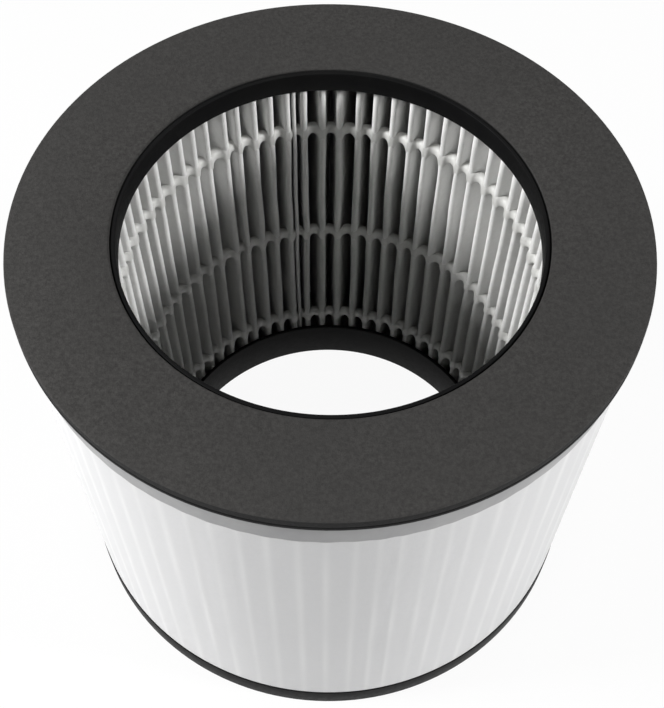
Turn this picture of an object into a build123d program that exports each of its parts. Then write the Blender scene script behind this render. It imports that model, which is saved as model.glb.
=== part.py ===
from build123d import *
import os
from math import acos, atan2, cos, degrees, radians

# Round pleated air purifier filter, in millimetres.
# The origin is the centre of the base, +Z is up and +Y is the back.

# Main sizes: everything outside the bore is counted outwards from it
height = 145.5
bore_radius = 57.0
pleat_depth = 24.9

# Foam sealing ring on the top plate
foam_thickness = 3.0
foam_edge_inset = 0.1
foam_hole_clearance = 0.3

# Black plastic end caps
top_plate_thickness = 1.6
bottom_plate_thickness = 1.6
plate_overhang = 1.3
collar_wall = 1.2
collar_below_foam = 0.6
top_collar_height = 6.6
bottom_collar_height = 16.0
skirt_wall = 1.2
skirt_height = 9.2

# Cured adhesive that bonds the pleat ends to the caps
top_potting_depth = 2.0
bottom_potting_depth = 3.0
potting_band_height = 9.6

# Non-woven wrap
wrap_thickness = 1.0
wrap_clearance = 0.2

# Pleated sheet
pleat_count = 70
sheet_thickness = 0.75
fold_radius = 0.6
fold_outside_corners = 4
fold_inside_corners = 2
collar_clearance = 0.2
seam_angle = 103.3
seam_glue_thickness = 0.6

# Rings of hot-melt dabs that hold the pleats apart, placed from the pleat ends
upper_bead_distance = 20.6
lower_bead_distance = 16.2
dab_depth = 4.0
dab_height = 6.0
dab_arch_height = 2.0

# Heights and radii that follow
plate_top = height - foam_thickness
plate_bottom = plate_top - top_plate_thickness
top_collar_top = height - collar_below_foam
top_collar_bottom = top_collar_top - top_collar_height
band_bottom = plate_bottom - potting_band_height
pleat_top = plate_bottom - top_potting_depth
pleat_bottom = bottom_plate_thickness + bottom_potting_depth
collar_radius = bore_radius + collar_wall
inner_crest_radius = collar_radius + collar_clearance
outer_crest_radius = inner_crest_radius + pleat_depth
skirt_inner_radius = outer_crest_radius + wrap_clearance
skirt_radius = skirt_inner_radius + skirt_wall
top_radius = skirt_radius + plate_overhang
wrap_radius = skirt_inner_radius + wrap_thickness
inner_fold_radius = inner_crest_radius + sheet_thickness / 2 + fold_radius
outer_fold_radius = outer_crest_radius - sheet_thickness / 2 - fold_radius
pleat_angle = 360 / pleat_count
upper_bead = pleat_top - upper_bead_distance
lower_bead = pleat_bottom + lower_bead_distance
middle_bead = (upper_bead + lower_bead) / 2


def turned(points):
    """Solid of revolution of a closed outline of (radius, height) points."""
    outline = make_face(Polyline(*points, close=True))
    return revolve(Plane.XZ * outline, Axis.Z)


def ring(inner, outer, low, high):
    """Plain ring between two radii and two heights."""
    return turned([(inner, low), (outer, low), (outer, high), (inner, high)])


def top_sealing_ring():
    """Flat foam ring that lies round the collar's rim."""
    return ring(collar_radius + foam_hole_clearance, top_radius - foam_edge_inset, plate_top, height)


def top_end_cap():
    """Ring plate whose collar stands up through the foam and reaches down into the bore."""
    return turned([
        (bore_radius, top_collar_bottom),
        (collar_radius, top_collar_bottom),
        (collar_radius, plate_bottom),
        (top_radius, plate_bottom),
        (top_radius, plate_top),
        (collar_radius, plate_top),
        (collar_radius, top_collar_top),
        (bore_radius, top_collar_top),
    ])


def bottom_end_cap():
    """Trough with an outer skirt and a taller collar round the bore."""
    return turned([
        (bore_radius, 0),
        (skirt_radius, 0),
        (skirt_radius, skirt_height),
        (skirt_inner_radius, skirt_height),
        (skirt_inner_radius, bottom_plate_thickness),
        (collar_radius, bottom_plate_thickness),
        (collar_radius, bottom_collar_height),
        (bore_radius, bottom_collar_height),
    ])


def top_potting():
    """Adhesive layer over the pleat ends, with the band that it leaves round the outside."""
    return turned([
        (collar_radius, pleat_top),
        (skirt_inner_radius, pleat_top),
        (skirt_inner_radius, band_bottom),
        (wrap_radius, band_bottom),
        (wrap_radius, plate_bottom),
        (collar_radius, plate_bottom),
    ])


def at_angle(radius, angle):
    """Point in plan at a radius and an angle in degrees."""
    return Vector(radius, 0, 0).rotate(Axis.Z, angle)


def plan_angle(direction):
    """Angle of a direction in plan, in degrees, counted from +X towards +Y."""
    return degrees(atan2(direction.Y, direction.X))


def panel_normal(start, end, side):
    """Unit normal of the flat panel that runs across from one fold to the next."""
    span = end - start
    lean = degrees(acos(2 * fold_radius / span.length))
    return span.normalized().rotate(Axis.Z, side * lean)


def fold_centres():
    """Fold centres along the sheet, from its outer end by way of every crest to its inner end."""
    centres = [at_angle(outer_fold_radius, seam_angle - pleat_angle / 2)]
    for i in range(pleat_count):
        crest_angle = seam_angle + i * pleat_angle
        centres.append(at_angle(inner_fold_radius, crest_angle))
        centres.append(at_angle(outer_fold_radius, crest_angle + pleat_angle / 2))
    # the last panel lies against the first one, with the seam's glue between them
    overlap = panel_normal(centres[0], centres[1], -1) * -(sheet_thickness + seam_glue_thickness)
    centres[-1] = centres[0] + overlap
    centres.append(centres[1] + overlap)
    return centres


def sheet_panels():
    """Each panel as its start, its end and the unit normal of the side that faces the bore."""
    centres = fold_centres()
    panels = []
    for i in range(len(centres) - 1):
        side = 1 if i % 2 else -1
        normal = panel_normal(centres[i], centres[i + 1], side)
        start = centres[i] + normal * fold_radius
        end = centres[i + 1] - normal * fold_radius
        panels.append((start, end, normal * side))
    return panels


def fold_corners(centre, normal_in, normal_out, turn, radius, count):
    """Corners of a fold: tangents to an arc round its centre, from one panel to the next."""
    start = plan_angle(normal_in)
    sweep = turn * (plan_angle(normal_out) - start) % 360
    step = sweep / count
    reach = radius / cos(radians(step / 2))
    return [centre + at_angle(reach, start + turn * step * (i + 0.5)) for i in range(count)]


def pleated_media(panels):
    """The folded sheet, its two ends lapped at the seam."""
    centres = fold_centres()
    half = sheet_thickness / 2
    bore_side = [panels[0][0] + panels[0][2] * half]
    outer_side = [panels[0][0] - panels[0][2] * half]
    for i in range(1, len(panels)):
        inner_fold = i % 2 == 1
        turn = -1 if inner_fold else 1
        radial = 1 if inner_fold else -1
        normal_in = panels[i - 1][2] * radial
        normal_out = panels[i][2] * radial
        wide = (centres[i], normal_in, normal_out, turn, fold_radius + half, fold_outside_corners)
        tight = (centres[i], normal_in, normal_out, turn, fold_radius - half, fold_inside_corners)
        bore_side += fold_corners(*(wide if inner_fold else tight))
        outer_side += fold_corners(*(tight if inner_fold else wide))
    # the raw edge of the last panel stands just behind the crest beside it
    last_start, last_end, last_normal = panels[-1]
    raw_end = last_end + (last_end - last_start).normalized() * fold_radius
    bore_side.append(raw_end + last_normal * half)
    outer_side.append(raw_end - last_normal * half)
    outline = make_face(Polyline(*bore_side, *reversed(outer_side), close=True))
    return Pos(0, 0, pleat_bottom) * extrude(outline, pleat_top - pleat_bottom)


def seam_adhesive(panels):
    """Glue between the first and the last panel of the sheet."""
    start, end, normal = panels[0]
    near = normal * (sheet_thickness / 2)
    far = normal * (sheet_thickness / 2 + seam_glue_thickness)
    outline = make_face(Polyline(start + near, end + near, end + far, start + far, close=True))
    return Pos(0, 0, pleat_bottom) * extrude(outline, pleat_top - pleat_bottom)


def glue_dab(left_panel, right_panel):
    """Dab that bridges one gap, level on top and arched underneath between the two panels."""
    half = sheet_thickness / 2
    left_front = left_panel[0] + left_panel[2] * half
    right_front = right_panel[1] + right_panel[2] * half
    left_back = left_front + (left_panel[1] - left_panel[0]).normalized() * dab_depth
    right_back = right_front + (right_panel[0] - right_panel[1]).normalized() * dab_depth
    plan = make_face(Polyline(left_front, left_back, right_back, right_front, close=True))
    wedge = Pos(0, 0, -dab_height / 2) * extrude(plan, dab_height)
    across = right_front - left_front
    middle = (left_front + right_front) * 0.5
    front = Plane(origin=middle, x_dir=across, z_dir=across.cross(Vector(0, 0, 1)))
    foot = -dab_height / 2
    reach = across.length / 2
    arch = make_face(front * Polyline((-reach, foot), (0, foot + dab_arch_height), (reach, foot), close=True))
    return wedge - extrude(arch, 2 * dab_depth, both=True)


def glue_dabs(panels):
    """One dab for each gap that opens towards the bore."""
    return [glue_dab(panels[i], panels[i + 1]) for i in range(1, len(panels) - 1, 2)]


def save(part, node):
    """Write one named sub-part."""
    part.label = node
    export_step(part, f"parts/{node}.step")


os.makedirs("parts", exist_ok=True)

save(top_sealing_ring(), "top_sealing_ring")
save(top_end_cap(), "top_end_cap")
save(top_potting(), "top_potting")
save(bottom_end_cap(), "bottom_end_cap")
save(ring(collar_radius, skirt_inner_radius, bottom_plate_thickness, pleat_bottom), "bottom_potting")
save(ring(skirt_inner_radius, wrap_radius, skirt_height, band_bottom), "outer_wrap")

media_panels = sheet_panels()
save(pleated_media(media_panels), "pleated_media")
save(seam_adhesive(media_panels), "seam_adhesive")

dabs = glue_dabs(media_panels)
for name, level in [("lower", lower_bead), ("middle", middle_bead), ("upper", upper_bead)]:
    save(Compound([Pos(0, 0, level) * dab for dab in dabs]), f"glue_bead_{name}")
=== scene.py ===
import bpy
import bmesh
from math import acos, atan2, copysign, cos, pi, radians, sin, sqrt, tau
from mathutils import Matrix, Vector, noise


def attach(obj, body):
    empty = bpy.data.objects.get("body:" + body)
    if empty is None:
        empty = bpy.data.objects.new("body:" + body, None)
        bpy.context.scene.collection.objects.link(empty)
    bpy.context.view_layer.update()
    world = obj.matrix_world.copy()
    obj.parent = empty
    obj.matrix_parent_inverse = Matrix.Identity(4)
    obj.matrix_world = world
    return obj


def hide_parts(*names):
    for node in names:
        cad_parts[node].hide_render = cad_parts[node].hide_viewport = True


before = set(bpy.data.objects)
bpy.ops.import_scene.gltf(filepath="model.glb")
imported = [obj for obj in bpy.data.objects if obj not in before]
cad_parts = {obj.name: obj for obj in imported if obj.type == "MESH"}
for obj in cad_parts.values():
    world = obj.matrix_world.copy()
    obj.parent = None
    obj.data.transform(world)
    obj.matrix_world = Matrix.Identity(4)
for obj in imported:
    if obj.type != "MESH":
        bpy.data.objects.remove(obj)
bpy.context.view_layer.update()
scene = bpy.context.scene
up = Vector((0, 0, 1))
print("frame loaded:", len(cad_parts), "nodes")


# camera: standing in front of the filter, looking down into its bore

cameraSet = {
    "place": (0.0010, -0.1986, 0.3879),
    "lookDown": 60.53,          # degrees below the horizon
    "roll": 0.80,
    "lens": 59.3,
    "sensorWidth": 36,
    "shiftX": 0.0004,
    "shiftY": 0.1073,
    "nearest": 0.01,
}
cameraData = bpy.data.cameras.new("photoCamera")
cameraData.lens = cameraSet["lens"]
cameraData.sensor_width = cameraSet["sensorWidth"]
cameraData.shift_x = cameraSet["shiftX"]
cameraData.shift_y = cameraSet["shiftY"]
cameraData.clip_start = cameraSet["nearest"]
camera = bpy.data.objects.new("photoCamera", cameraData)
scene.collection.objects.link(camera)
camera.matrix_world = (
    Matrix.Translation(cameraSet["place"])
    @ Matrix.Rotation(radians(90 - cameraSet["lookDown"]), 4, "X")
    @ Matrix.Rotation(radians(cameraSet["roll"]), 4, "Z")
)
scene.camera = camera


# where the pleats stand

pleatSet = {
    "count": 70,
    "innerRadius": 0.059375,    # fold centres next to the bore
    "outerRadius": 0.082325,    # fold centres next to the wrap
    "foldRadius": 0.0006,
    "thickness": 0.00075,
    "seamGap": 0.0010,          # between the two layers of the lapped seam
    "hemRadius": 0.0002,        # the sheet's end is folded over this sharply
    "hemDepth": 0.0035,
    "low": 0.0046,
    "high": 0.1389,
    "foldSteps": 6,
    "panelParts": 3,
    "rows": 14,
    "stray": 1.1,               # how many degrees a fold may stand off its place
    "strayPace": 0.83,          # higher for more change from one fold to the next
    "straySeed": (4.7, 2.3),
    "sway": 0.00022,            # how far a fold wanders from a straight line
    "swayGain": 2.2,            # brings the noise near to plus and minus 1
    "swayRound": 9,             # how soon the sway changes round the ring
    "swayUpward": 22,           # and how soon it does with height
    "swayPace": 2.2,            # and both together
}
# where the folds stand: pleats counted from the lapped seam, and degrees from +X towards +Y
foldMarks = {0: 103.5, 11: 158.9, 21.5: 215.8, 33.5: 275.0, 38.5: 295.6, 43.5: 321.2, 55: 382.8,
             64: 432.0, 70: 463.5}


def foldAngles():
    # even steps are folds next to the bore and odd ones folds next to the wrap
    marks = list(foldMarks.items())
    angles = []
    for step in range(2 * pleatSet["count"] + 1):
        pleats = step / 2
        (before, low), (after, high) = next(p for p in zip(marks, marks[1:]) if pleats <= p[1][0])
        share = (pleats - before) / (after - before)
        draw = noise.noise(Vector((step * pleatSet["strayPace"], *pleatSet["straySeed"])))
        angles.append(radians(low + share * (high - low) + pleatSet["stray"] * draw * sin(pi * share)))
    return angles


foldAngle = foldAngles()


def pleatsAt(place):
    # how many pleats a place is on from +X, while a ring is still evenly divided
    return atan2(place.y, place.x) % tau / tau * pleatSet["count"]


def pleatAngle(pleats):
    # where the sheet stands that many pleats on from its seam, also between two folds
    step = 2 * pleats % (2 * pleatSet["count"])
    low = int(step)
    part = step - low
    high = low + 1 if part else low
    return foldAngle[low] * (1 - part) + foldAngle[high] * part


def atAngle(radius, angle, z=0.0):
    return Vector((radius * cos(angle), radius * sin(angle), z))


# pieces

samePlace = 1e-6        # metres


def addPiece(name, bm, material, nodes, sharp=40, orient=True):
    if orient:
        bmesh.ops.recalc_face_normals(bm, faces=bm.faces)
    mesh = bpy.data.meshes.new(name)
    bm.to_mesh(mesh)
    bm.free()
    mesh.shade_smooth()
    mesh.set_sharp_from_angle(angle=radians(sharp))
    mesh.materials.append(material)
    piece = bpy.data.objects.new(name, mesh)
    scene.collection.objects.link(piece)
    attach(piece, "root")
    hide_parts(*nodes)
    return piece


def turnedRing(outline, steps):
    # (radius, height) corners in metres, spun once round the axis
    bm = bmesh.new()
    corners = [bm.verts.new((r, 0, z)) for r, z in outline]
    sides = [bm.edges.new(pair) for pair in zip(corners, corners[1:] + corners[:1])]
    bmesh.ops.spin(bm, geom=corners + sides, cent=(0, 0, 0), axis=up, angle=tau, steps=steps,
                   use_merge=True)
    bmesh.ops.remove_doubles(bm, verts=bm.verts, dist=samePlace)
    bmesh.ops.recalc_face_normals(bm, faces=bm.faces)
    return bm


def roundRims(bm, size, where=lambda radius, z: True, leastBend=0.5):
    # level edges that bend more than leastBend radians
    rims = []
    for edge in bm.edges:
        a, b = edge.verts
        if abs(a.co.z - b.co.z) > samePlace or edge.calc_face_angle(0) < leastBend:
            continue
        if where(a.co.xy.length, a.co.z):
            rims.append(edge)
    bmesh.ops.bevel(bm, geom=rims, offset=size, offset_type="OFFSET", affect="EDGES", segments=3,
                    profile=0.5, material=-1, clamp_overlap=True)


def standUp(bm, made, rise, rows):
    # lift what was extruded and cut the walls under it into rows
    bmesh.ops.translate(bm, verts=[g for g in made if isinstance(g, bmesh.types.BMVert)], vec=up * rise)
    risers = [e for e in bm.edges if abs(e.verts[0].co.z - e.verts[1].co.z) > rise / 2]
    bmesh.ops.subdivide_edges(bm, edges=risers, cuts=rows - 1, use_grid_fill=True)


# what the materials are made with

def newGroup(name, inputs, outputs):
    group = bpy.data.node_groups.new(name, "ShaderNodeTree")
    for label, kind in inputs:
        group.interface.new_socket(name=label, in_out="INPUT", socket_type=kind)
    for label, kind in outputs:
        group.interface.new_socket(name=label, in_out="OUTPUT", socket_type=kind)
    return group, group.nodes.new("NodeGroupInput"), group.nodes.new("NodeGroupOutput")


def addMath(tree, operation, first, second=None):
    node = tree.nodes.new("ShaderNodeMath")
    node.operation = operation
    for socket, value in zip(node.inputs, (first, second)):
        if value is None:
            continue
        if isinstance(value, (int, float)):
            socket.default_value = value
        else:
            tree.links.new(value, socket)
    return node.outputs[0]


def addRamp(tree, value, low, high, toLow=0.0, toHigh=1.0):
    node = tree.nodes.new("ShaderNodeMapRange")
    node.inputs["From Min"].default_value = low
    node.inputs["From Max"].default_value = high
    node.inputs["To Min"].default_value = toLow
    node.inputs["To Max"].default_value = toHigh
    tree.links.new(value, node.inputs["Value"])
    return node.outputs["Result"]


def addNoise(tree, vector, scale, detail=3.0, roughness=0.55, distortion=0.0):
    # its scale is the value of another node
    node = tree.nodes.new("ShaderNodeTexNoise")
    node.inputs["Detail"].default_value = detail
    node.inputs["Roughness"].default_value = roughness
    node.inputs["Distortion"].default_value = distortion
    tree.links.new(vector, node.inputs["Vector"])
    tree.links.new(scale, node.inputs["Scale"])
    return node.outputs["Fac"]


def addMix(tree, factor, first, second):
    node = tree.nodes.new("ShaderNodeMix")
    node.data_type = "RGBA"
    for name, kind, value in (("Factor", "VALUE", factor), ("A", "RGBA", first), ("B", "RGBA", second)):
        socket = next(s for s in node.inputs if s.name == name and s.type == kind)
        if isinstance(value, tuple):
            socket.default_value = (*value, 1)
        else:
            tree.links.new(value, socket)
    return next(s for s in node.outputs if s.type == "RGBA")


fleeceSet = {
    "layers": (1.0, 1.7),       # how fine each layer of fibres is
    "winding": 1.4,
    "fibreWidth": 0.09,
    "finerShare": 0.7,          # how strongly the finer layer shows
    "cloudRange": (0.3, 0.7),
    "fibreHeight": 0.5,         # and the clouds have the rest of the height
}


def fleeceGroup():
    # tangled fibres: two layers of thin winding lines over a soft cloudiness
    group, enter, leave = newGroup(
        "tangledFibres",
        [("Vector", "NodeSocketVector"), ("Fibres", "NodeSocketFloat"), ("Clouds", "NodeSocketFloat")],
        [("Cloud", "NodeSocketFloat"), ("Fibre", "NodeSocketFloat"), ("Height", "NodeSocketFloat")],
    )
    vector = enter.outputs["Vector"]
    lines = []
    for share in fleeceSet["layers"]:
        scale = addMath(group, "MULTIPLY", enter.outputs["Fibres"], share)
        winding = addNoise(group, vector, scale, detail=2.0, distortion=fleeceSet["winding"])
        off = addMath(group, "ABSOLUTE", addMath(group, "SUBTRACT", winding, 0.5))
        lines.append(addRamp(group, off, 0.0, fleeceSet["fibreWidth"], 1.0, 0.0))
    finer = addMath(group, "MULTIPLY", lines[1], fleeceSet["finerShare"])
    fibre = addMath(group, "MAXIMUM", lines[0], finer)
    cloudNoise = addNoise(group, vector, enter.outputs["Clouds"], detail=4.0, roughness=0.6)
    cloud = addRamp(group, cloudNoise, *fleeceSet["cloudRange"])
    fibreHeight = addMath(group, "MULTIPLY", fibre, fleeceSet["fibreHeight"])
    cloudHeight = addMath(group, "MULTIPLY", cloud, 1 - fleeceSet["fibreHeight"])
    group.links.new(cloud, leave.inputs["Cloud"])
    group.links.new(fibre, leave.inputs["Fibre"])
    group.links.new(addMath(group, "ADD", fibreHeight, cloudHeight), leave.inputs["Height"])
    return group


grainSet = {
    "pitRange": (0.05, 0.75),
    "pitHeight": 0.6,
    "speckScale": 0.45,         # how fine the specks are, as a share of the grain
    "speckRange": (0.32, 0.68),
    "speckHeight": 0.4,
    "patchRange": (0.3, 0.7),
}


def grainGroup():
    # fine pits and grains, with a wide unevenness under them
    group, enter, leave = newGroup(
        "fineGrain",
        [("Vector", "NodeSocketVector"), ("Grain", "NodeSocketFloat"), ("Patches", "NodeSocketFloat")],
        [("Patch", "NodeSocketFloat"), ("Speck", "NodeSocketFloat"), ("Height", "NodeSocketFloat")],
    )
    vector = enter.outputs["Vector"]
    cells = group.nodes.new("ShaderNodeTexVoronoi")
    cells.feature = "F1"
    group.links.new(vector, cells.inputs["Vector"])
    group.links.new(enter.outputs["Grain"], cells.inputs["Scale"])
    pit = addRamp(group, cells.outputs["Distance"], *grainSet["pitRange"])
    speckScale = addMath(group, "MULTIPLY", enter.outputs["Grain"], grainSet["speckScale"])
    speck = addRamp(group, addNoise(group, vector, speckScale, roughness=0.7), *grainSet["speckRange"])
    patch = addRamp(group, addNoise(group, vector, enter.outputs["Patches"]), *grainSet["patchRange"])
    pitHeight = addMath(group, "MULTIPLY", pit, grainSet["pitHeight"])
    speckHeight = addMath(group, "MULTIPLY", speck, grainSet["speckHeight"])
    group.links.new(patch, leave.inputs["Patch"])
    group.links.new(speck, leave.inputs["Speck"])
    group.links.new(addMath(group, "ADD", pitHeight, speckHeight), leave.inputs["Height"])
    return group


tangledFibres = fleeceGroup()
fineGrain = grainGroup()


def newMaterial(name, coordinates="Object"):
    material = bpy.data.materials.new(name)
    material.use_nodes = True
    tree = material.node_tree
    shader = next(n for n in tree.nodes if n.type == "BSDF_PRINCIPLED")
    if coordinates == "UV":
        source = tree.nodes.new("ShaderNodeUVMap")
        source.uv_map = "cloth"
        vector = source.outputs["UV"]
    else:
        source = tree.nodes.new("ShaderNodeTexCoord")
        vector = source.outputs["Object"]
    return material, tree, shader, vector


def placeGroup(tree, group, vector, **values):
    node = tree.nodes.new("ShaderNodeGroup")
    node.node_tree = group
    tree.links.new(vector, node.inputs["Vector"])
    for name, value in values.items():
        node.inputs[name].default_value = value
    return node


def addBump(tree, shader, height, distance, strength):
    node = tree.nodes.new("ShaderNodeBump")
    node.inputs["Distance"].default_value = distance
    node.inputs["Strength"].default_value = strength
    tree.links.new(height, node.inputs["Height"])
    tree.links.new(node.outputs["Normal"], shader.inputs["Normal"])


# black foam

foamSet = {
    "steps": 160,
    "hole": 0.0585,
    "edge": 0.0859,
    "low": 0.1425,
    "high": 0.1455,
    "softness": 0.0006,
    "skin": 0.1450,             # the top's colour reaches down to here round the edge; the side below is painted darker as shade
    "skinFade": 0.0001,
    "grain": 2300.0,
    "patches": 30.0,
    "darkCell": (0.031, 0.030, 0.029),
    "lightCell": (0.064, 0.062, 0.060),
    "patch": (0.040, 0.039, 0.038),
    "patchShare": 0.4,
    # painted shade on the foam's side face
    "paintedSideShade": (0.017, 0.017, 0.017),
    "roughness": (0.78, 0.92),
    "shine": 0.15,
    "bump": 0.00012,
    "bumpStrength": 0.8,
}


def foamMaterial():
    material, tree, shader, vector = newMaterial("closedCellFoam")
    grain = placeGroup(tree, fineGrain, vector, Grain=foamSet["grain"], Patches=foamSet["patches"])
    cells = addMix(tree, grain.outputs["Speck"], foamSet["darkCell"], foamSet["lightCell"])
    patchy = addMath(tree, "MULTIPLY", grain.outputs["Patch"], foamSet["patchShare"])
    skin = addMix(tree, patchy, cells, foamSet["patch"])
    place = tree.nodes.new("ShaderNodeSeparateXYZ")
    tree.links.new(vector, place.inputs["Vector"])
    # painted shade: the side face below the top's edge gets a darker colour
    sideShadeMask = addRamp(tree, place.outputs["Z"], foamSet["skin"] - foamSet["skinFade"], foamSet["skin"], 1.0, 0.0)
    tree.links.new(addMix(tree, sideShadeMask, skin, foamSet["paintedSideShade"]), shader.inputs["Base Color"])
    roughness = addRamp(tree, grain.outputs["Speck"], 0, 1, *foamSet["roughness"])
    tree.links.new(roughness, shader.inputs["Roughness"])
    shader.inputs["Specular IOR Level"].default_value = foamSet["shine"]
    addBump(tree, shader, grain.outputs["Height"], foamSet["bump"], foamSet["bumpStrength"])
    return material


foamOutline = [
    (foamSet["hole"], foamSet["low"]), (foamSet["edge"], foamSet["low"]),
    (foamSet["edge"], foamSet["high"]), (foamSet["hole"], foamSet["high"]),
]
foamMiddle = (foamSet["low"] + foamSet["high"]) / 2


# plastic, adhesive and hot melt: one pattern of patches and specks

mouldedLooks = {
    "blackMouldedPlastic": {
        "grain": 1300.0,
        "patches": 60.0,
        "dark": (0.0050, 0.0050, 0.0053),
        "light": (0.0085, 0.0085, 0.0085),
        "roughness": (0.42, 0.54),
        "shine": 0.04,
        "relief": "Height",
        "bump": 0.00003,
        "bumpStrength": 0.6,
    },
    "curedGreyAdhesive": {
        "grain": 500.0,
        "patches": 90.0,
        "dark": (0.25, 0.25, 0.255),
        "light": (0.295, 0.295, 0.295),
        "roughness": (0.34, 0.42),
        "shine": 0.3,
        "relief": "Patch",
        "bump": 0.00006,
        "bumpStrength": 0.5,
    },
    "milkyHotMelt": {
        "grain": 700.0,
        "patches": 160.0,
        "dark": (0.66, 0.66, 0.64),
        "light": (0.72, 0.72, 0.70),
        "roughness": (0.30, 0.42),
        "shine": 0.3,
        "relief": "Patch",
        "bump": 0.0001,
        "bumpStrength": 0.5,
    },
}


def mouldedMaterial(name):
    look = mouldedLooks[name]
    material, tree, shader, vector = newMaterial(name)
    grain = placeGroup(tree, fineGrain, vector, Grain=look["grain"], Patches=look["patches"])
    colour = addMix(tree, grain.outputs["Patch"], look["dark"], look["light"])
    tree.links.new(colour, shader.inputs["Base Color"])
    roughness = addRamp(tree, grain.outputs["Speck"], 0, 1, *look["roughness"])
    tree.links.new(roughness, shader.inputs["Roughness"])
    shader.inputs["Specular IOR Level"].default_value = look["shine"]
    addBump(tree, shader, grain.outputs[look["relief"]], look["bump"], look["bumpStrength"])
    return material


# filter sheet and wrap: tangled fibres

mediaLook = {
    "fibres": 1400.0,
    "clouds": 420.0,
    "dark": (0.79, 0.79, 0.775),
    "light": (0.84, 0.84, 0.83),
    "fibre": (0.88, 0.88, 0.87),
    "fibreShare": 0.3,
    "roughness": 0.9,
    "shine": 0.15,
    "through": 0.8,             # light comes through the thin fibres
    "throughScale": 0.0006,
    "bump": 0.00006,
    "bumpStrength": 0.8,
}


def mediaMaterial():
    look = mediaLook
    material, tree, shader, vector = newMaterial("filterSheet", "UV")
    fleece = placeGroup(tree, tangledFibres, vector, Fibres=look["fibres"], Clouds=look["clouds"])
    clouds = addMix(tree, fleece.outputs["Cloud"], look["dark"], look["light"])
    fibre = addMath(tree, "MULTIPLY", fleece.outputs["Fibre"], look["fibreShare"])
    tree.links.new(addMix(tree, fibre, clouds, look["fibre"]), shader.inputs["Base Color"])
    shader.inputs["Roughness"].default_value = look["roughness"]
    shader.inputs["Specular IOR Level"].default_value = look["shine"]
    shader.inputs["Subsurface Weight"].default_value = look["through"]
    shader.inputs["Subsurface Radius"].default_value = (1, 1, 1)
    shader.inputs["Subsurface Scale"].default_value = look["throughScale"]
    addBump(tree, shader, fleece.outputs["Height"], look["bump"], look["bumpStrength"])
    return material


wrapLook = {
    "fibres": 1100.0,
    "clouds": 330.0,
    # between the folds the cloth is painted darker, as shade over the hollow behind it
    "free": (0.66, 0.66, 0.665),
    "paintedFoldLight": (0.75, 0.75, 0.75),      # painted light along a pleat's fold, given back through the cloth by the fold behind it
    "cloud": (0.70, 0.70, 0.70),
    "cloudShare": 0.25,
    "fibre": (0.77, 0.77, 0.77),
    "fibreShare": 0.2,
    "roughness": 0.92,
    "shine": 0.15,
    "bump": 0.00008,
    "bumpStrength": 0.8,
}


def wrapMaterial():
    look = wrapLook
    material, tree, shader, vector = newMaterial("nonWovenWrap", "UV")
    fleece = placeGroup(tree, tangledFibres, vector, Fibres=look["fibres"], Clouds=look["clouds"])
    # painted light: the cloth is paler along each fold and darker between the folds
    touch = tree.nodes.new("ShaderNodeAttribute")
    touch.attribute_name = "crest"
    base = addMix(tree, touch.outputs["Fac"], look["free"], look["paintedFoldLight"])
    cloud = addMath(tree, "MULTIPLY", fleece.outputs["Cloud"], look["cloudShare"])
    fibre = addMath(tree, "MULTIPLY", fleece.outputs["Fibre"], look["fibreShare"])
    colour = addMix(tree, fibre, addMix(tree, cloud, base, look["cloud"]), look["fibre"])
    tree.links.new(colour, shader.inputs["Base Color"])
    shader.inputs["Roughness"].default_value = look["roughness"]
    shader.inputs["Specular IOR Level"].default_value = look["shine"]
    addBump(tree, shader, fleece.outputs["Height"], look["bump"], look["bumpStrength"])
    return material


foam = foamMaterial()
plastic = mouldedMaterial("blackMouldedPlastic")
adhesive = mouldedMaterial("curedGreyAdhesive")
media = mediaMaterial()
wrapCloth = wrapMaterial()
hotMelt = mouldedMaterial("milkyHotMelt")
print("materials made")


# black caps and foam

capSet = {
    "steps": 160,
    "bore": 0.057,
    "collar": 0.0582,
    "plateRim": 0.086,
    "plateLow": 0.1409,
    "plateHigh": 0.1425,
    "topCollarLow": 0.1383,
    "topCollarHigh": 0.1449,
    "skirtInner": 0.0835,
    "skirtOuter": 0.0847,
    "skirtHigh": 0.0092,
    "trough": 0.0016,
    "bottomCollarHigh": 0.016,
    "rounding": 0.0003,
}
topOutline = [
    (capSet["bore"], capSet["topCollarLow"]), (capSet["collar"], capSet["topCollarLow"]),
    (capSet["collar"], capSet["plateLow"]), (capSet["plateRim"], capSet["plateLow"]),
    (capSet["plateRim"], capSet["plateHigh"]), (capSet["collar"], capSet["plateHigh"]),
    (capSet["collar"], capSet["topCollarHigh"]), (capSet["bore"], capSet["topCollarHigh"]),
]
bm = turnedRing(topOutline, capSet["steps"])
roundRims(bm, capSet["rounding"])
addPiece("topCap", bm, plastic, ["top_end_cap"])

bottomOutline = [
    (capSet["bore"], 0), (capSet["skirtOuter"], 0), (capSet["skirtOuter"], capSet["skirtHigh"]),
    (capSet["skirtInner"], capSet["skirtHigh"]), (capSet["skirtInner"], capSet["trough"]),
    (capSet["collar"], capSet["trough"]), (capSet["collar"], capSet["bottomCollarHigh"]),
    (capSet["bore"], capSet["bottomCollarHigh"]),
]
bm = turnedRing(bottomOutline, capSet["steps"])
roundRims(bm, capSet["rounding"])
addPiece("bottomCap", bm, plastic, ["bottom_end_cap"])

bm = turnedRing(foamOutline, foamSet["steps"])
roundRims(bm, foamSet["softness"], lambda radius, z: z > foamMiddle)
foamRing = addPiece("foamRing", bm, foam, ["top_sealing_ring"])
print("caps and foam made")


# folded sheet

def panelNormal(start, end, side):
    # square to the flat panel that crosses from one fold to the next
    span = end - start
    lean = acos(2 * pleatSet["foldRadius"] / span.length)
    return Matrix.Rotation(side * lean, 3, "Z") @ span.normalized()


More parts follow.
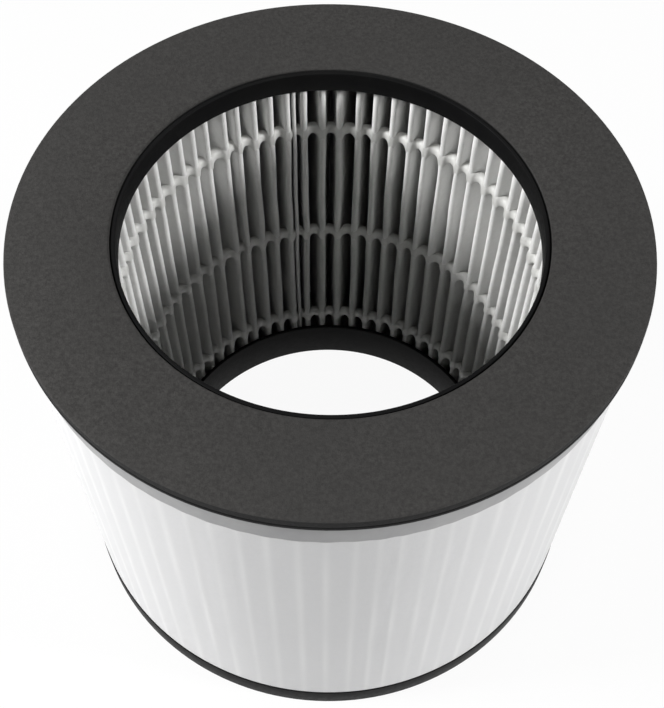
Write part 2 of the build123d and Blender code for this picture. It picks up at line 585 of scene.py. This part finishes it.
def foldCentres():
    centres = [atAngle(pleatSet["outerRadius"], foldAngle[-2] - tau)]
    for step in range(2 * pleatSet["count"]):
        radius = pleatSet["outerRadius"] if step % 2 else pleatSet["innerRadius"]
        centres.append(atAngle(radius, foldAngle[step]))
    # the last panel stands beside the first one, with the seam's glue between them
    lap = panelNormal(centres[0], centres[1], -1) * -(pleatSet["thickness"] + pleatSet["seamGap"])
    centres[-1] = centres[0] + lap
    centres.append(centres[1] + lap)
    return centres


def foldedWire():
    # the sheet's edge seen from above, panel by panel, and its length
    centres = foldCentres()
    bend = pleatSet["foldRadius"]
    parts = pleatSet["panelParts"]
    bm = bmesh.new()
    length = 0.0
    tip = None
    for i in range(len(centres) - 1):
        side = 1 if i % 2 else -1
        normal = panelNormal(centres[i], centres[i + 1], side)
        start = centres[i] + normal * bend
        end = centres[i + 1] - normal * bend
        if tip is None:
            tip = bmesh.ops.create_vert(bm, co=start)["vert"][0]
        else:
            # bend the sheet round this fold, up to where the next panel leaves it
            turn = -side
            arrive = tip.co - centres[i]
            sweep = turn * (atan2(normal.y, normal.x) - atan2(arrive.y, arrive.x)) % tau
            spun = bmesh.ops.spin(bm, geom=[tip], cent=centres[i], axis=up, angle=turn * sweep,
                                  steps=pleatSet["foldSteps"])
            tip = spun["geom_last"][0]
            length += sweep * bend
        for part in range(1, parts + 1):
            tip = bmesh.ops.extrude_vert_indiv(bm, verts=[tip])["verts"][0]
            tip.co = start.lerp(end, part / parts)
        length += (end - start).length
    # the last end is folded back on itself, towards the first panel
    heading = (end - start).normalized()
    beside = Vector((heading.y, -heading.x, 0))
    spun = bmesh.ops.spin(bm, geom=[tip], cent=end + beside * pleatSet["hemRadius"], axis=up, angle=-pi,
                          steps=pleatSet["foldSteps"])
    tip = bmesh.ops.extrude_vert_indiv(bm, verts=[spun["geom_last"][0]])["verts"][0]
    tip.co -= heading * pleatSet["hemDepth"]
    length += pi * pleatSet["hemRadius"] + pleatSet["hemDepth"]
    return bm, length


def foldedSheet():
    low, high = pleatSet["low"], pleatSet["high"]
    bm, length = foldedWire()
    # each vertex keeps its distance along the wire, for the cloth's coordinates
    along = bm.verts.layers.float.new("along")
    bm.verts.ensure_lookup_table()
    here, last, reach = bm.verts[0], None, 0.0
    while here:
        here[along] = reach
        onward = [e for e in here.link_edges if e.other_vert(here) is not last]
        last = here
        here = onward[0].other_vert(here) if onward else None
        reach += onward[0].calc_length() if onward else 0
    # stand it up between the caps
    bmesh.ops.translate(bm, verts=bm.verts, vec=up * low)
    standUp(bm, bmesh.ops.extrude_edge_only(bm, edges=bm.edges)["geom"], high - low, pleatSet["rows"])
    for v in bm.verts:
        angle = atan2(v.co.y, v.co.x)
        fade = sin(pi * (v.co.z - low) / (high - low))
        around = pleatSet["swayRound"]
        near = Vector((cos(angle) * around, sin(angle) * around, v.co.z * pleatSet["swayUpward"]))
        draw = noise.noise(near * pleatSet["swayPace"]) * pleatSet["swayGain"]
        swing = draw * pleatSet["sway"] * sqrt(max(fade, 0))
        v.co.x += -sin(angle) * swing
        v.co.y += cos(angle) * swing
    weave = bm.loops.layers.uv.new("cloth")
    for face in bm.faces:
        for corner in face.loops:
            corner[weave].uv = (corner.vert[along], corner.vert.co.z)
    return bm, length


bm, sheetLength = foldedSheet()
pleatedSheet = addPiece("pleatedSheet", bm, media, ["pleated_media"], sharp=60)
wall = pleatedSheet.modifiers.new("sheetThickness", "SOLIDIFY")
wall.thickness = pleatSet["thickness"]
wall.offset = 0
wall.use_even_offset = True
print("sheet folded:", round(sheetLength, 3), "m long")


# hot-melt beads

beadSet = {
    "heights": {"upper": 0.1193, "middle": 0.0705, "lower": 0.0217},
    "seedStep": 5.3,
    "ring": 60,                 # its section has a radius of 1 and is spun at this one
    "joinedUnder": 1e-4,
    "stepsPerPleat": 14,
    "sectionSides": 14,
    "frontPower": 0.8,          # below 1 for a blunt front
    "risePower": 0.85,
    "crestTop": 0.0022,         # how far it climbs on a fold
    "crestFoot": 0.0030,        # and runs down it
    "uneven": 0.25,             # by what share both differ from fold to fold
    "unevenPace": 3.7,
    "unevenSeed": 0.5,
    "gapTop": 0.0019,           # the same halfway between two folds
    "gapFoot": 0.0013,
    "foldHalf": 0.15,           # half of a fold's width, as a share of the pitch
    "smear": 0.00015,           # how thick it lies on a fold
    "smearDepth": 0.0008,       # from there to its back
    "smearEdge": 0.0002,        # how far its upper and lower edge stand back
    "recess": 0.0010,           # how far it sinks back between two folds
    "depth": 0.0032,            # and from there to its back
    "waver": 0.0004,
    "waverPace": 14,
}


def beadRing(level, seed):
    bm = bmesh.new()
    bmesh.ops.create_circle(bm, cap_ends=False, segments=beadSet["sectionSides"], radius=1)
    bmesh.ops.rotate(bm, verts=bm.verts, cent=(0, 0, 0), matrix=Matrix.Rotation(pi / 2, 3, "X"))
    bmesh.ops.translate(bm, verts=bm.verts, vec=(beadSet["ring"], 0, 0))
    bmesh.ops.spin(bm, geom=bm.verts[:] + bm.edges[:], cent=(0, 0, 0), axis=up, angle=tau,
                   steps=pleatSet["count"] * beadSet["stepsPerPleat"], use_merge=True)
    bmesh.ops.remove_doubles(bm, verts=bm.verts, dist=beadSet["joinedUnder"])
    crestFace = pleatSet["innerRadius"] - pleatSet["foldRadius"] - pleatSet["thickness"] / 2
    for v in bm.verts:
        turn = atan2(v.co.y, v.co.x) % tau
        outward = v.co.xy.length - beadSet["ring"]
        outward = copysign(abs(outward) ** beadSet["frontPower"], outward)
        rise = copysign(abs(v.co.z) ** beadSet["risePower"], v.co.z)
        pleats = pleatsAt(v.co)
        crest = int(round(pleats)) % pleatSet["count"]
        off = (abs(pleats - round(pleats)) - beadSet["foldHalf"]) / (0.5 - beadSet["foldHalf"])
        gap = 1 - (1 - max(0.0, off)) ** 2      # 0 on a fold and 1 halfway to the next
        blob = noise.noise(Vector((crest * beadSet["unevenPace"], seed, beadSet["unevenSeed"])))
        blob *= beadSet["uneven"]
        pace = beadSet["waverPace"]
        flow = noise.noise(Vector((cos(turn) * pace, sin(turn) * pace, seed)))
        if rise > 0:
            reach = beadSet["crestTop"] * (1 + blob) * (1 - gap) + beadSet["gapTop"] * gap
        else:
            reach = beadSet["crestFoot"] * (1 - blob) * (1 - gap) + beadSet["gapFoot"] * gap
        front = crestFace - beadSet["smear"] * (1 - gap) + beadSet["recess"] * gap
        deep = beadSet["smearDepth"] + (beadSet["depth"] - beadSet["smearDepth"]) * min(1, gap * 2)
        radius = front + deep * (outward + 1) / 2 + beadSet["smearEdge"] * rise * rise * (1 - gap)
        v.co = atAngle(radius, pleatAngle(pleats), level + rise * reach + beadSet["waver"] * flow)
    return bm


for number, (name, level) in enumerate(beadSet["heights"].items()):
    bm = beadRing(level, number * beadSet["seedStep"])
    addPiece(f"{name}Bead", bm, hotMelt, [f"glue_bead_{name}"], sharp=80)
print("beads laid")


# glue in the sheet's lapped seam

seamSet = {
    "from": 0.0045,             # how far it stands back from the fold's flat
    "to": 0.0225,
    "rows": 26,
    "sides": 12,
    "waver": 0.0008,
    "waverPace": 90,
    "waverSeed": (0.4, 7.1),
}


def seamBead():
    centres = foldCentres()
    normal = panelNormal(centres[0], centres[1], -1)
    start = centres[1] - normal * pleatSet["foldRadius"]
    along = (centres[0] + normal * pleatSet["foldRadius"] - start).normalized()
    middle = start - normal * (pleatSet["thickness"] + pleatSet["seamGap"]) / 2
    bm = bmesh.new()
    bmesh.ops.create_circle(bm, cap_ends=True, segments=seamSet["sides"], radius=1)
    bmesh.ops.translate(bm, verts=bm.verts, vec=up * pleatSet["low"])
    made = bmesh.ops.extrude_face_region(bm, geom=bm.faces[:])["geom"]
    standUp(bm, made, pleatSet["high"] - pleatSet["low"], seamSet["rows"])
    halfDepth = (seamSet["to"] - seamSet["from"]) / 2
    for v in bm.verts:
        draw = noise.noise(Vector((*seamSet["waverSeed"], v.co.z * seamSet["waverPace"])))
        push = halfDepth + seamSet["waver"] * draw
        flat = along * (seamSet["from"] + halfDepth + v.co.x * push)
        flat += normal * (v.co.y * pleatSet["seamGap"] / 2)
        v.co = Vector((middle.x + flat.x, middle.y + flat.y, v.co.z))
    return bm


addPiece("seamBead", seamBead(), hotMelt, ["seam_adhesive"], sharp=80)
print("seam glued")


# non-woven wrap

wrapSet = {
    "outer": 0.08445,
    "limit": 0.0846,            # nothing of it stands out further
    "thickness": 0.0008,
    "low": 0.0092,
    "high": 0.1322,
    "stepsPerPleat": 12,
    "rows": 24,
    "round": 7,                 # how soon its unevenness changes round the ring
    "upward": 18,               # and how soon it does with height
    "scallop": 0.00004,
    "press": 0.75,              # how hard the pleats press on it, which also sets how strongly the painted pale line shows
    "pressChange": 0.6,
    "pressPace": 1.9,
    "pressSeed": (3, 8, 1),
    "crumple": 0.00006,
    "crumplePace": 3.1,
    "ridge": 3.0,               # higher for narrower ridges where the pleats press on it
    "line": 6.0,                # and the same for the painted pale line along each ridge
    "hem": 0.006,               # it lies smooth this near its edges
    "border": 0.0005,
    "tuck": 0.0001,             # it is drawn in this far where it enters the skirt
    "tuckHeight": 0.0045,
}


def wrapTube():
    low, high = wrapSet["low"], wrapSet["high"]
    border, hem, tuckHeight = wrapSet["border"], wrapSet["hem"], wrapSet["tuckHeight"]
    bm = bmesh.new()
    crest = bm.verts.layers.float.new("crest")
    steps = pleatSet["count"] * wrapSet["stepsPerPleat"]
    bmesh.ops.create_circle(bm, cap_ends=False, segments=steps, radius=1)
    bmesh.ops.translate(bm, verts=bm.verts, vec=up * low)
    standUp(bm, bmesh.ops.extrude_edge_only(bm, edges=bm.edges)["geom"], high - low, wrapSet["rows"])
    for level in (low + border, low + tuckHeight / 3, low + tuckHeight * 2 / 3, high - border):
        bmesh.ops.bisect_plane(bm, geom=bm.verts[:] + bm.edges[:] + bm.faces[:], plane_co=up * level,
                               plane_no=up)
    weave = bm.loops.layers.uv.new("cloth")
    for v in bm.verts:
        pleats = pleatsAt(v.co)
        touch = 0.5 - 0.5 * cos(tau * pleats)       # 1 on a pleat's outer fold
        place = Vector((v.co.x * wrapSet["round"], v.co.y * wrapSet["round"], v.co.z * wrapSet["upward"]))
        draw = noise.noise(place * wrapSet["pressPace"] + Vector(wrapSet["pressSeed"]))
        press = wrapSet["press"] + wrapSet["pressChange"] * draw
        free = min(1, (v.co.z - low) / hem, (high - v.co.z) / hem)
        # how strongly the painted pale line shows on this fold
        v[crest] = max(0.0, min(1.0, touch ** wrapSet["line"] * press))
        radius = wrapSet["outer"] - wrapSet["scallop"] * (1 - touch ** wrapSet["ridge"]) * press * free
        radius += wrapSet["crumple"] * noise.noise(place * wrapSet["crumplePace"]) * free
        radius -= wrapSet["tuck"] * max(0, 1 - (v.co.z - low) / tuckHeight) ** 2
        v.co = atAngle(min(radius, wrapSet["limit"]), pleatAngle(pleats), v.co.z)
    for face in bm.faces:
        turns = [atan2(corner.vert.co.y, corner.vert.co.x) for corner in face.loops]
        for corner, turn in zip(face.loops, turns):
            if max(turns) - min(turns) > pi and turn < 0:
                turn += tau
            corner[weave].uv = (turn * wrapSet["outer"], corner.vert.co.z)
    # the open tube's faces look away from the axis, so its thickness goes inwards
    bmesh.ops.recalc_face_normals(bm, faces=bm.faces)
    bm.faces.ensure_lookup_table()
    if bm.faces[0].normal.dot(bm.faces[0].verts[0].co * Vector((1, 1, 0))) < 0:
        bmesh.ops.reverse_faces(bm, faces=bm.faces)
    return bm


outerWrap = addPiece("outerWrap", wrapTube(), wrapCloth, ["outer_wrap"], sharp=60,
                     orient=False)
wall = outerWrap.modifiers.new("clothThickness", "SOLIDIFY")
wall.thickness = wrapSet["thickness"]
wall.offset = -1
print("wrap made")


# adhesive

bandSet = {
    "stepsPerPleat": 6,
    "collar": 0.0582,
    "skin": 0.0835,
    "face": 0.08455,
    "low": 0.1311,
    "lipHigh": 0.135,           # what lies lower is the lip that hangs over the wrap
    "layerLow": 0.1389,
    "high": 0.1409,
    "rounding": 0.00015,
    "wave": 0.0002,
    "wavePace": 150,
    "waveSeed": 0.3,
    "creep": 0.00015,           # how much further it runs down on a pleat
}
bandOutline = [
    (bandSet["collar"], bandSet["layerLow"]), (bandSet["skin"], bandSet["layerLow"]),
    (bandSet["skin"], bandSet["low"]), (bandSet["face"], bandSet["low"]),
    (bandSet["face"], bandSet["high"]), (bandSet["collar"], bandSet["high"]),
]
lipMiddle = (bandSet["skin"] + bandSet["face"]) / 2
bm = turnedRing(bandOutline, pleatSet["count"] * bandSet["stepsPerPleat"])
roundRims(bm, bandSet["rounding"], lambda radius, z: radius > lipMiddle and z < bandSet["lipHigh"])
for v in bm.verts:
    pleats = pleatsAt(v.co)
    place = atAngle(v.co.xy.length, pleatAngle(pleats), v.co.z)
    if v.co.z < bandSet["lipHigh"]:
        pace = bandSet["wavePace"]
        draw = noise.noise(Vector((place.x * pace, place.y * pace, bandSet["waveSeed"])))
        place.z += bandSet["wave"] * draw
        place.z += bandSet["creep"] * cos(tau * pleats)
    v.co = place
addPiece("topAdhesive", bm, adhesive, ["top_potting"])

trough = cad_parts["bottom_potting"]
trough.data.materials.clear()
trough.data.materials.append(adhesive)
print("adhesive made")


# room

roomSet = {
    "floorHalf": 6,
    "floorParts": 8,
    "floorHeight": -0.0001,
    "floorColour": (0.86, 0.86, 0.86),
    "floorPatch": (0.88, 0.88, 0.88),
    "floorGrain": 300.0,
    "floorPatches": 4.0,
    "floorRoughness": 0.8,
    "floorGlow": 0.94,          # share of plain white that the camera sees on the floor
    "ambient": 0.05,
}
lampSet = {
    "leftLamp": {"place": (-0.83, -0.13, 0.67), "aim": (0, 0, 0.12), "size": (0.22, 0.22), "power": 11.6},
    "rightLamp": {"place": (1.01, -0.26, 0.62), "aim": (0, 0, 0.12), "size": (0.18, 0.18), "power": 10.2},
    "frontCard": {"place": (0.0, -1.2, 0.08), "aim": (0, 0, 0.05), "size": (0.8, 0.16), "power": 1.5},
}

floorMesh = bpy.data.meshes.new("floor")
bm = bmesh.new()
bmesh.ops.create_grid(bm, x_segments=roomSet["floorParts"], y_segments=roomSet["floorParts"],
                      size=roomSet["floorHalf"])
bmesh.ops.translate(bm, verts=bm.verts, vec=up * roomSet["floorHeight"])
bm.to_mesh(floorMesh)
bm.free()
floor = bpy.data.objects.new("floor", floorMesh)
scene.collection.objects.link(floor)


def seenDirectly(tree):
    # 1 for rays that show the background itself, 0 for the ones that carry its light
    path = tree.nodes.new("ShaderNodeLightPath")
    seen = addMath(tree, "MAXIMUM", path.outputs["Is Camera Ray"], path.outputs["Is Glossy Ray"])
    return addMath(tree, "MAXIMUM", seen, path.outputs["Is Transmission Ray"])


floorPaint, tree, shader, vector = newMaterial("paleFloor")
grain = placeGroup(tree, fineGrain, vector, Grain=roomSet["floorGrain"], Patches=roomSet["floorPatches"])
tone = addMix(tree, grain.outputs["Patch"], roomSet["floorColour"], roomSet["floorPatch"])
tree.links.new(tone, shader.inputs["Base Color"])
shader.inputs["Roughness"].default_value = roomSet["floorRoughness"]
glow = tree.nodes.new("ShaderNodeEmission")
blend = tree.nodes.new("ShaderNodeMixShader")
output = next(n for n in tree.nodes if n.type == "OUTPUT_MATERIAL")
tree.links.new(addMath(tree, "MULTIPLY", seenDirectly(tree), roomSet["floorGlow"]), blend.inputs["Fac"])
tree.links.new(shader.outputs["BSDF"], blend.inputs[1])
tree.links.new(glow.outputs["Emission"], blend.inputs[2])
tree.links.new(blend.outputs["Shader"], output.inputs["Surface"])
floorMesh.materials.append(floorPaint)

world = bpy.data.worlds.new("softRoom")
world.use_nodes = True
scene.world = world
tree = world.node_tree
sky = next(n for n in tree.nodes if n.type == "BACKGROUND")
sky.inputs["Color"].default_value = (1, 1, 1, 1)
tree.links.new(addRamp(tree, seenDirectly(tree), 0, 1, roomSet["ambient"], 1.0), sky.inputs["Strength"])

for name, lamp in lampSet.items():
    data = bpy.data.lights.new(name, "AREA")
    data.shape = "RECTANGLE"
    data.size, data.size_y = lamp["size"]
    data.energy = lamp["power"]
    light = bpy.data.objects.new(name, data)
    scene.collection.objects.link(light)
    light.visible_camera = False
    light.location = lamp["place"]
    light.rotation_euler = (Vector(lamp["aim"]) - Vector(lamp["place"])).to_track_quat("-Z", "Y").to_euler()
print("room lit")

scene.view_settings.view_transform = "Standard"
